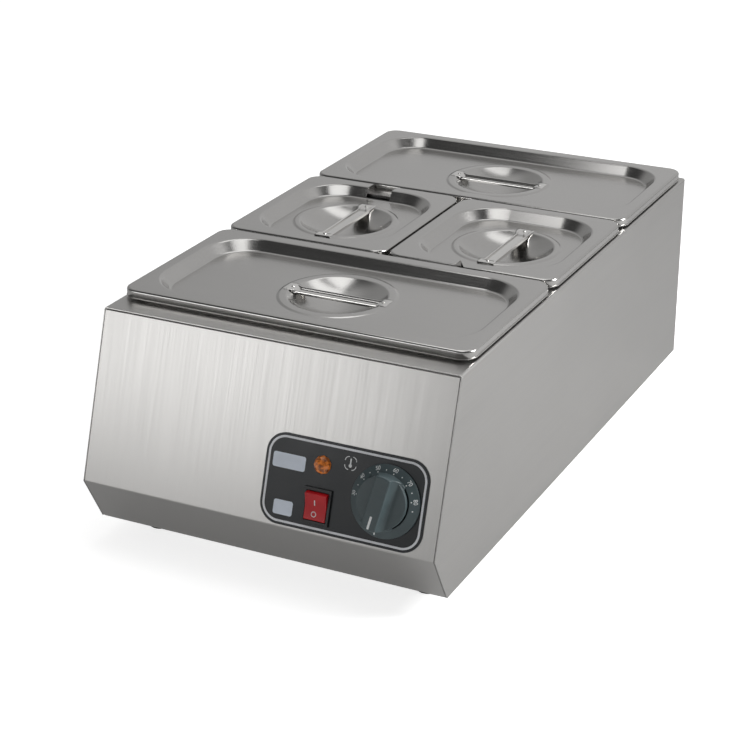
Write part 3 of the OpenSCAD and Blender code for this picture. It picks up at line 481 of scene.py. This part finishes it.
def pressed_sheet(size, ring_radius):
    """The sheet of a lid about the middle of its top, with sharp folds."""
    bm = bmesh.new()
    rim = rounded_plate(bm, size.x, size.y, LID_CORNER)
    outer = list(rim.edges)
    bmesh.ops.delete(bm, geom=[rim], context="FACES_ONLY")
    panel = rounded_plate(bm, size.x - 2 * LID_RIM, size.y - 2 * LID_RIM, RECESS_CORNER)
    bmesh.ops.bridge_loops(bm, edges=outer + list(panel.edges))
    bmesh.ops.inset_region(bm, faces=[panel], thickness=RECESS_RUN, depth=-RECESS_DEPTH,
                           use_even_offset=True)
    foot = list(panel.edges)
    bmesh.ops.delete(bm, geom=[panel], context="FACES_ONLY")
    bmesh.ops.triangle_fill(bm, edges=foot + dish(bm, ring_radius), use_beauty=True)
    border = [e for e in bm.edges if e.is_boundary]
    skirt = bmesh.ops.extrude_edge_only(bm, edges=border)["geom"]
    bmesh.ops.translate(bm, vec=(0, 0, -LID_EDGE), verts=verts_of(skirt))
    bmesh.ops.recalc_face_normals(bm, faces=bm.faces)
    return bm


def round_folds(bm, size, ring_radius):
    reach = Vector((size.x / 2 - LID_RIM + mm, size.y / 2 - LID_RIM + mm))

    def inside(p):
        return abs(p.x) < reach.x and abs(p.y) < reach.y

    bend(bm, lambda p: abs(p.z) < NEAR and not inside(p), LID_BEND)
    bend(bm, lambda p: abs(p.z) < NEAR and inside(p), RECESS_BEND)
    bend(bm, lambda p: abs(p.z + RECESS_DEPTH) < NEAR and p.xy.length > ring_radius + CLOSE,
         RECESS_BEND)
    bend(bm, lambda p: ring_radius - RING_SLOPE - CLOSE < p.xy.length < ring_radius + CLOSE,
         RING_BEND, segments=2)
    bend(bm, lambda p: abs(p.xy.length - BOWL_RADIUS) < CLOSE, BOWL_BEND, segments=6)


# %% [markdown]
# The ladle notch of a small lid goes right through rim, wall and edge. It is cut the way a punch
# would cut it: two straight cuts across the finished pressing, and the metal between them drops
# out. The edge of the lid is then turned down along both cuts, so that no raw edge is left.

# %% Ladle notch
NOTCH_WIDTH = 26 * mm


def cut_notch(bm, side, start):
    """Opens the rim, wall and edge of a lid for a ladle, on its +y or -y side."""
    def beyond(face):
        return all(v.co.y * side > start - mm for v in face.verts)

    def on_cut(vert):
        return abs(abs(vert.co.x) - NOTCH_WIDTH / 2) < NEAR and vert.co.z > -LID_EDGE

    for x in (-NOTCH_WIDTH / 2, NOTCH_WIDTH / 2):
        faces = [f for f in bm.faces if beyond(f)]
        around = {g for f in faces for g in (f, *f.edges, *f.verts)}
        bmesh.ops.bisect_plane(bm, geom=list(around), plane_co=(x, 0, 0), plane_no=(1, 0, 0))
    gap = [f for f in bm.faces if beyond(f)
           and abs(f.calc_center_median().x) < NOTCH_WIDTH / 2
           and f.calc_center_median().y * side > start + mm]
    bmesh.ops.delete(bm, geom=gap, context="FACES")
    cut = [e for e in bm.edges if e.is_boundary
           and abs(e.verts[0].co.y - e.verts[1].co.y) > NEAR and all(map(on_cut, e.verts))]
    for vert in verts_of(bmesh.ops.extrude_edge_only(bm, edges=cut)["geom"]):
        vert.co.z = -LID_EDGE
    bmesh.ops.remove_doubles(bm, verts=bm.verts, dist=MERGE)
    bmesh.ops.recalc_face_normals(bm, faces=bm.faces)
    print("notch of", len(gap), "faces")


# %% [markdown]
# Now the four lids can be pressed. The two wide lids differ from the two small ones only in the
# size of their rim, in the ring and in the notch. The left lid has its notch behind, the right
# one in front.

# %% Lids
LID_SHEET = 0.8 * mm
WIDE_RING, SMALL_RING = 54 * mm, 51.5 * mm


def lid(name, ring_radius, notch=0):
    low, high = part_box(name)
    size = high - low
    bm = pressed_sheet(size, ring_radius)
    round_folds(bm, size, ring_radius)
    if notch:
        cut_notch(bm, notch, size.y / 2 - LID_RIM - RECESS_RUN)
    place = Matrix.Translation(((low.x + high.x) / 2, (low.y + high.y) / 2, high.z))
    piece = make_piece(name + "_pressed", bm, name + "_body", lid_steel, place,
                       [name], crease=50)
    thicken(piece, LID_SHEET)


lid("front_lid", WIDE_RING)
lid("rear_lid", WIDE_RING)
lid("left_lid", SMALL_RING, notch=1)
lid("right_lid", SMALL_RING, notch=-1)

# %% [markdown]
# ## Strap handles
# Each handle is a strip of sheet folded three ways: its long sides are rolled into lips, its ends
# are pressed flat and spot welded to the lid, and the grip between them is set down into the mouth
# of the bowl, so that lids can be stacked. A cross section is drawn once and pulled along the
# strip, flattened at the ends as the press does.

# %% Strap handles
STRAP_HALF, FOOT, GRIP_HALF = 50.5 * mm, 43 * mm, 38 * mm
GRIP_SUNK, STRAP_SHEET, TAB_SUNK = 2.9 * mm, 0.6 * mm, 0.3 * mm
LIP_LINE = ((4.4, 0), (4.85, 1.25), (5.1, 1.55), (5.5, 1.65), (5.9, 1.5), (6.1, 1.2), (6.75, -1.0))
TAB_WIDER, TAB_FLAT = 16 / 13, 0.04


def along(x, z=0):
    return Matrix.Translation((x, 0, z))


def folded_strip():
    """One strap along x, its tabs level with z = 0."""
    half = [(y * mm, z * mm) for y, z in LIP_LINE]
    line = [(-y, z) for y, z in reversed(half)] + half
    bm = bmesh.new()
    verts = [bm.verts.new((0, y, z)) for y, z in line]
    edges = [bm.edges.new(pair) for pair in zip(verts, verts[1:])]
    flat = Matrix.Diagonal((1, TAB_WIDER, TAB_FLAT, 1))
    stations = [along(-STRAP_HALF) @ flat, along(-FOOT) @ flat,
                along(-GRIP_HALF, -GRIP_SUNK), along(GRIP_HALF, -GRIP_SUNK),
                along(FOOT) @ flat, along(STRAP_HALF) @ flat]
    bmesh.ops.transform(bm, matrix=stations[0], verts=verts)
    for here, there in zip(stations, stations[1:]):
        pulled = bmesh.ops.extrude_edge_only(bm, edges=edges)["geom"]
        edges = [g for g in pulled if isinstance(g, bmesh.types.BMEdge)]
        bmesh.ops.transform(bm, matrix=there @ here.inverted(), verts=verts_of(pulled))
    bmesh.ops.recalc_face_normals(bm, faces=bm.faces)
    if sum(f.normal.z for f in bm.faces) < 0:
        bmesh.ops.reverse_faces(bm, faces=bm.faces)
    return bm


# %% [markdown]
# A spot weld leaves a small flattened bead on the tab. Two beads per handle, each a ball pressed
# flat, are made together with the strap, so that both take the same place and ride on the lid.

# %% Straps and welds
WELD, WELD_FLAT, WELD_ROUND, WELD_RISE = 1.6 * mm, 0.6, 20, 10


def weld_beads():
    bm = bmesh.new()
    for x in (-FOOT - WELD, FOOT + WELD):
        spot = along(x) @ Matrix.Diagonal((1, 1, WELD_FLAT, 1))
        bmesh.ops.create_uvsphere(bm, u_segments=WELD_ROUND, v_segments=WELD_RISE, radius=WELD,
                                  matrix=spot)
    return bm


def strap(name, body, turned):
    low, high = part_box(name)
    turn = Matrix.Rotation(pi / 2 if turned else 0, 4, "Z")
    middle = ((low.x + high.x) / 2, (low.y + high.y) / 2, low.z + STRAP_SHEET - TAB_SUNK)
    place = Matrix.Translation(middle) @ turn
    piece = make_piece(name + "_folded", folded_strip(), body, strap_steel, place,
                       [name], crease=40)
    thicken(piece, STRAP_SHEET)
    make_piece(name + "_welds", weld_beads(), body, screw_steel, place)


for side in ("front", "rear", "left", "right"):
    strap(side + "_lid_handle", side + "_lid_body", side in ("left", "right"))

# %% [markdown]
# ## Control panel
# All the print lies on the sloped film, so it is drawn flat about the dial centre and then placed
# once with a matrix taken from the knob's own joint. The film could carry an image, but thin
# raised plates give the same crisp edge as screen print at any distance.

# %% Printing
INK = 0.08 * mm
out, right = -Vector(joints["knob_turn"]["axis"]), Vector((1, 0, 0))
slope = Matrix((right, out.cross(right), out)).transposed().to_4x4()
panel_place = Matrix.Translation(joints["knob_turn"]["pos_m"]) @ slope
print("panel faces", [round(v, 3) for v in out])


def inked(bm, name, finish, body="tank", place=panel_place):
    """Gives flat print its thickness and makes a piece of it."""
    top = bmesh.ops.extrude_face_region(bm, geom=bm.faces[:])["geom"]
    bmesh.ops.translate(bm, vec=(0, 0, INK), verts=verts_of(top))
    bmesh.ops.recalc_face_normals(bm, faces=bm.faces)
    make_piece(name, bm, body, finish, place, crease=20)


def frame_line(bm, width, depth, radius, thickness, steps=CORNER_STEPS):
    """A rounded outline of this thickness; returns its faces."""
    plate = rounded_plate(bm, width, depth, radius, steps)
    line = bmesh.ops.inset_region(bm, faces=[plate], thickness=thickness, use_boundary=True,
                                  use_even_offset=True)["faces"]
    bmesh.ops.delete(bm, geom=[plate], context="FACES")
    return line


def shifted(bm, x, y):
    bmesh.ops.translate(bm, vec=(x, y, 0), verts=bm.verts)
    return bm


# %% [markdown]
# A silver line runs round the film, and two pale windows on its left are left blank. Both are
# rounded plates; the line is one with its middle taken out.

# %% Border and windows
BORDER_WIDTH, BORDER_DEPTH, BORDER_CORNER, BORDER_LINE = 146 * mm, 73.5 * mm, 15.8 * mm, 1.9 * mm
BORDER_STEPS, BORDER_X = 24, -39 * mm
WINDOW_CORNER, WINDOW_STEPS = 2 * mm, 6
WINDOWS = {  # middle x and y, width and depth in millimetres
    "label_window_upper": (-92, 15.3, 30.5, 12.7),
    "label_window_lower": (-92.25, -24.3, 18, 12.5),
}

border = bmesh.new()
frame_line(border, BORDER_WIDTH, BORDER_DEPTH, BORDER_CORNER, BORDER_LINE, BORDER_STEPS)
inked(shifted(border, BORDER_X, 0), "overlay_border", silver_print)
for name, (x, y, width, depth) in WINDOWS.items():
    window = bmesh.new()
    rounded_plate(window, width * mm, depth * mm, WINDOW_CORNER, WINDOW_STEPS)
    inked(shifted(window, x * mm, y * mm), name, window_grey)

# %% [markdown]
# The small thermometer sign stands inside four corner arcs. The arcs are one rounded outline with
# its straight sides taken out; the thermometer is a round bulb and a round-ended stem.

# %% Thermometer sign
SIGN_X, SIGN_Y = -35.95 * mm, 24.65 * mm
ARC_WIDTH, ARC_DEPTH, ARC_CORNER, ARC_LINE, ARC_STEPS = 11 * mm, 11.6 * mm, 3.9 * mm, 0.65 * mm, 8
BULB_RADIUS, BULB_Y, BULB_STEPS = 1.5 * mm, -2.1 * mm, 24
STEM_WIDTH, STEM_LENGTH, STEM_END, STEM_STEPS, STEM_Y = 1.2 * mm, 5.8 * mm, 0.59 * mm, 6, 1.2 * mm

sign = bmesh.new()
arcs = frame_line(sign, ARC_WIDTH, ARC_DEPTH, ARC_CORNER, ARC_LINE, ARC_STEPS)
middles = {face: face.calc_center_median() for face in arcs}
straight = [face for face, at in middles.items() if min(abs(at.x), abs(at.y)) < CLOSE]
bmesh.ops.delete(sign, geom=straight, context="FACES")
bmesh.ops.create_circle(sign, cap_ends=True, segments=BULB_STEPS, radius=BULB_RADIUS,
                        matrix=Matrix.Translation((0, BULB_Y, 0)))
stem = rounded_plate(sign, STEM_WIDTH, STEM_LENGTH, STEM_END, STEM_STEPS)
bmesh.ops.translate(sign, vec=(0, STEM_Y, 0), verts=stem.verts)
inked(shifted(sign, SIGN_X, SIGN_Y), "thermometer_sign", white_print)

# %% [markdown]
# ## Dial scale
# The scale is printed on the conical face of the fixed ring, with the tops of the numbers
# outwards. Numbers and dots are made flat and then draped: each point keeps its place seen from
# the front and takes the height of the cone under it.

# %% Draping print on the ring
CONE_IN, CONE_OUT, CONE_TOP, CONE_LOW = 23.1 * mm, 31 * mm, 6 * mm, 2 * mm
DOT_STEPS = 16


def lettering(text, size):
    curve = bpy.data.curves.new("lettering", "FONT")
    curve.body, curve.size, curve.align_x, curve.align_y = text, size, "CENTER", "CENTER"
    holder = bpy.data.objects.new("lettering", curve)
    bpy.context.scene.collection.objects.link(holder)
    seen = holder.evaluated_get(bpy.context.evaluated_depsgraph_get())
    mesh = bpy.data.meshes.new_from_object(seen)
    bpy.data.objects.remove(holder)
    bm = bmesh.new()
    bm.from_mesh(mesh)
    bpy.data.meshes.remove(mesh)
    return bm


def dot(size):
    bm = bmesh.new()
    bmesh.ops.create_circle(bm, cap_ends=True, segments=DOT_STEPS, radius=size)
    return bm


def drape(bm, name, clockwise, radius):
    """Prints a flat shape on the cone of the ring at this angle and radius."""
    angle = radians(clockwise)
    outward, across = Vector((sin(angle), cos(angle))), Vector((cos(angle), -sin(angle)))
    bmesh.ops.remove_doubles(bm, verts=bm.verts, dist=MERGE)
    for vert in bm.verts:
        flat = outward * (radius + vert.co.y) + across * vert.co.x
        fall = (flat.length - CONE_IN) / (CONE_OUT - CONE_IN)
        vert.co = (flat.x, flat.y, CONE_TOP + (CONE_LOW - CONE_TOP) * fall)
    inked(bm, name, white_print)


# %% [markdown]
# The numbers go up clockwise in even steps, with a dot at each number and one half way to the
# next. The off mark stands apart at the foot of the ring, where the pointer rests.

# %% Dial scale
NUMBERS = ("30", "40", "50", "60", "70", "80")
FIRST_ANGLE, TEN_DEGREES, OFF_ANGLE = 274.0, 33.1, 190.0
NUMBER_SIZE, NUMBER_RADIUS = 4.6 * mm, 28.0 * mm
DOT_SIZE, DOT_RADIUS, HALF_WAY_RADIUS = 0.5 * mm, 25.0 * mm, 26.5 * mm
OFF_WIDTH, OFF_LENGTH, OFF_CORNER, OFF_STEPS, OFF_RADIUS = 1.2 * mm, 4 * mm, 0.3 * mm, 3, 27.2 * mm

for step, number in enumerate(NUMBERS):
    angle = FIRST_ANGLE + TEN_DEGREES * step
    half_way = angle + TEN_DEGREES / 2
    drape(lettering(number, NUMBER_SIZE), "scale_number_" + number, angle, NUMBER_RADIUS)
    drape(dot(DOT_SIZE), "scale_dot_" + number, angle, DOT_RADIUS)
    drape(dot(DOT_SIZE), "scale_dot_after_" + number, half_way, HALF_WAY_RADIUS)
off = bmesh.new()
rounded_plate(off, OFF_WIDTH, OFF_LENGTH, OFF_CORNER, OFF_STEPS)
drape(off, "scale_off_mark", OFF_ANGLE, OFF_RADIUS)

# %% [markdown]
# ## Marks that move
# The white pointer turns with the knob and the two switch marks tip with the rocker, so these
# prints ride on those bodies. The upper half of the rocker stands out at the angle of its travel.

# %% Knob pointer
KNOB_TOP, POINTER_Y = 21 * mm, 16.4 * mm
POINTER_WIDTH, POINTER_LENGTH, POINTER_CORNER, POINTER_STEPS = 2 * mm, 11 * mm, 0.5 * mm, 4

pointer = bmesh.new()
rounded_plate(pointer, POINTER_WIDTH, POINTER_LENGTH, POINTER_CORNER, POINTER_STEPS)
at_rest = Matrix.Translation((0, 0, KNOB_TOP)) @ Matrix.Rotation(radians(-OFF_ANGLE), 4, "Z")
inked(shifted(pointer, 0, POINTER_Y), "knob_pointer", white_print, "knob",
      panel_place @ at_rest)

# %% [markdown]
# The two switch marks are the usual stroke for on and ring for off. The stroke lies on the tilted
# upper half of the rocker and the ring on its lower half, so they get different places.

# %% Switch marks
ROCKER_TOP, MARKS_X, STROKE_Y, RING_Y = 2.6 * mm, -0.8 * mm, 3.2 * mm, -6.8 * mm
STROKE_WIDTH, STROKE_LENGTH, STROKE_CORNER, STROKE_STEPS = 0.9 * mm, 5.0 * mm, 0.3 * mm, 3
RING_SIZE, RING_CORNER, RING_LINE, RING_STEPS = 4.8 * mm, 2.39 * mm, 0.6 * mm, 10

rocker_axis = Matrix.Translation(joints["rocker_press"]["pos_m"]) @ slope
rocker_place = rocker_axis @ Matrix.Translation((0, 0, ROCKER_TOP))
tilt = Matrix.Rotation(radians(joints["rocker_press"]["range_deg"][1]), 4, "X")
stroke = bmesh.new()
rounded_plate(stroke, STROKE_WIDTH, STROKE_LENGTH, STROKE_CORNER, STROKE_STEPS)
inked(shifted(stroke, MARKS_X, STROKE_Y), "rocker_mark_on", white_print, "rocker",
      rocker_place @ tilt)
ring = bmesh.new()
frame_line(ring, RING_SIZE, RING_SIZE, RING_CORNER, RING_LINE, RING_STEPS)
inked(shifted(ring, MARKS_X, RING_Y), "rocker_mark_off", white_print, "rocker",
      rocker_place)

# %% [markdown]
# ## Lamp lens
# The lamp is a clear amber cap with cut facets that break up the light of the small bulb behind
# it. A coarse ball of triangles, pressed flat and halved, has just that look of cut glass.

# %% Lamp lens
LENS_RADIUS, LENS_HEIGHT = 8 * mm, 5.5 * mm
LENS_X, LENS_Y = -61 * mm, 18.4 * mm

lens_low, lens_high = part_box("lamp_lens")
print("plain lens is", round((lens_high - lens_low).x / mm, 1), "mm wide")
bm = bmesh.new()
bmesh.ops.create_icosphere(bm, subdivisions=2, radius=LENS_RADIUS)
bmesh.ops.scale(bm, vec=(1, 1, LENS_HEIGHT / LENS_RADIUS), verts=bm.verts)
bmesh.ops.bisect_plane(bm, geom=bm.verts[:] + bm.edges[:] + bm.faces[:], plane_co=(0, 0, 0),
                       plane_no=(0, 0, 1), clear_inner=True)
bmesh.ops.holes_fill(bm, edges=[e for e in bm.edges if e.is_boundary])
bmesh.ops.recalc_face_normals(bm, faces=bm.faces)
lens_place = panel_place @ Matrix.Translation((LENS_X, LENS_Y, 0))
make_piece("lamp_lens_cut", bm, "tank", amber, lens_place, ["lamp_lens"], crease=4)

# %% [markdown]
# ## Studio floor
# The tank stands on a plain pale floor. To the camera it is white, which could be had by lighting
# it harder, but that would burn out the steel too. So the floor glows a little for the camera
# only, less in reflections, and still takes the shadow of the tank.

# %% Studio floor
FLOOR_SIZE = 24.0
FLOOR_PAINT, PAINT_IN_STEEL = 0.86, 0.36
FLOOR_GLOW, GLOW_IN_STEEL = 0.75, 0.22

floor_mesh = bpy.data.meshes.new("floor")
bm = bmesh.new()
bmesh.ops.create_grid(bm, x_segments=1, y_segments=1, size=FLOOR_SIZE / 2)
bm.to_mesh(floor_mesh)
bm.free()
floor = bpy.data.objects.new("floor", floor_mesh)
bpy.context.scene.collection.objects.link(floor)

material, start = new_finish("studio_floor")
by_camera = start.node("ShaderNodeLightPath", output="Is Camera Ray")
in_gloss, in_glass = by_camera.other("Is Glossy Ray"), by_camera.other("Is Transmission Ray")
paint = start.node("ShaderNodeBsdfDiffuse",
                   {"Color": in_gloss.blend(grey(FLOOR_PAINT), grey(PAINT_IN_STEEL))})
strength = by_camera * FLOOR_GLOW + (in_gloss + in_glass) * GLOW_IN_STEEL
glow = start.node("ShaderNodeEmission", {"Color": grey(1.0), "Strength": strength})
both = start.node("ShaderNodeAddShader", {0: paint, 1: glow})
start.node("ShaderNodeOutputMaterial", {"Surface": both})
floor_mesh.materials.append(material)
print("floor", FLOOR_SIZE, "m wide")

# %% [markdown]
# ## Studio walls
# Steel has no colour of its own: it shows what stands round it, so the room is part of the
# finish. A painted room could be built, but a sky that depends only on the direction does the
# same. It is pale behind the tank and low in front, and dark high in front and to the left, which
# shades the walls of the lids. The camera itself sees plain white.

# %% Studio walls
LOW_EDGE, LOW_LIGHT = (0.16, 0.40), 0.54
LEFT_EDGE, LEFT_DIM = (0.30, 0.70), 0.45
TOP_EDGE, TOP_DIM = (0.85, 0.97), 0.4
BACK_EDGE, BACK_LIGHT = (-0.15, 0.25), 0.53
EVEN_LIGHT = 0.055

world = bpy.data.worlds.new("studio")
world.use_nodes = True
world.node_tree.nodes.clear()
bpy.context.scene.world = world
sky = Value(world.node_tree)
direction = sky.node("ShaderNodeTexCoord", output="Generated")
rightward = sky.node("ShaderNodeSeparateXYZ", {0: direction}, output="X")
backward, above = rightward.other("Y"), rightward.other("Z").clamped()
low_front = (0 - backward).clamped() * (1 - above.between(*LOW_EDGE)) * LOW_LIGHT
dim_top = 1 - above.between(*TOP_EDGE) * TOP_DIM
dim_left = 1 - (0 - rightward).between(*LEFT_EDGE) * LEFT_DIM
behind = backward.between(*BACK_EDGE) * dim_top * dim_left * BACK_LIGHT
level = behind + low_front + EVEN_LIGHT
seen_directly = sky.node("ShaderNodeLightPath", output="Is Camera Ray")
strength = level * (1 - seen_directly) + seen_directly
shell = sky.node("ShaderNodeBackground", {"Color": grey(1.0), "Strength": strength})
sky.node("ShaderNodeOutputWorld", {"Surface": shell})
print("studio walls:", len(world.node_tree.nodes), "nodes")

# %% [markdown]
# ## Soft boxes
# Four soft boxes stand round the tank, as in a product studio. The key box, low on the left,
# lights the front face. The zenith box and the walls box hang above and draw the glints in the
# bowls and the light walls of the lids. The right box lights the right side.

# %% Soft boxes
def soft_box(name, place, aim, width, height, power, spread=180):
    data = bpy.data.lights.new(name, "AREA")
    data.shape, data.size, data.size_y, data.energy = "RECTANGLE", width, height, power
    data.spread = radians(spread)
    lamp = bpy.data.objects.new(name, data)
    lamp.location = place
    lamp.rotation_euler = (Vector(place) - Vector(aim)).to_track_quat("Z", "Y").to_euler()
    bpy.context.scene.collection.objects.link(lamp)
    print(name, "box", power, "W")


soft_box("key", place=(-0.83, -1.20, 0.40), aim=(-0.83, 0, 0.40),
         width=1.15, height=0.34, power=1.50, spread=120)
soft_box("zenith", place=(0.08, 0.27, 1.3), aim=(0.08, 0.271, 0),
         width=0.74, height=0.36, power=1.0)
soft_box("right", place=(1.42, 0.24, 0.86), aim=(0.35, 0.15, 0),
         width=0.6, height=0.6, power=25.5)
soft_box("walls", place=(0.06, -0.28, 0.95), aim=(0.0603, -0.2790, 0),
         width=0.60, height=0.42, power=1.2)

# %% View transform
bpy.context.scene.view_settings.view_transform = "Standard"
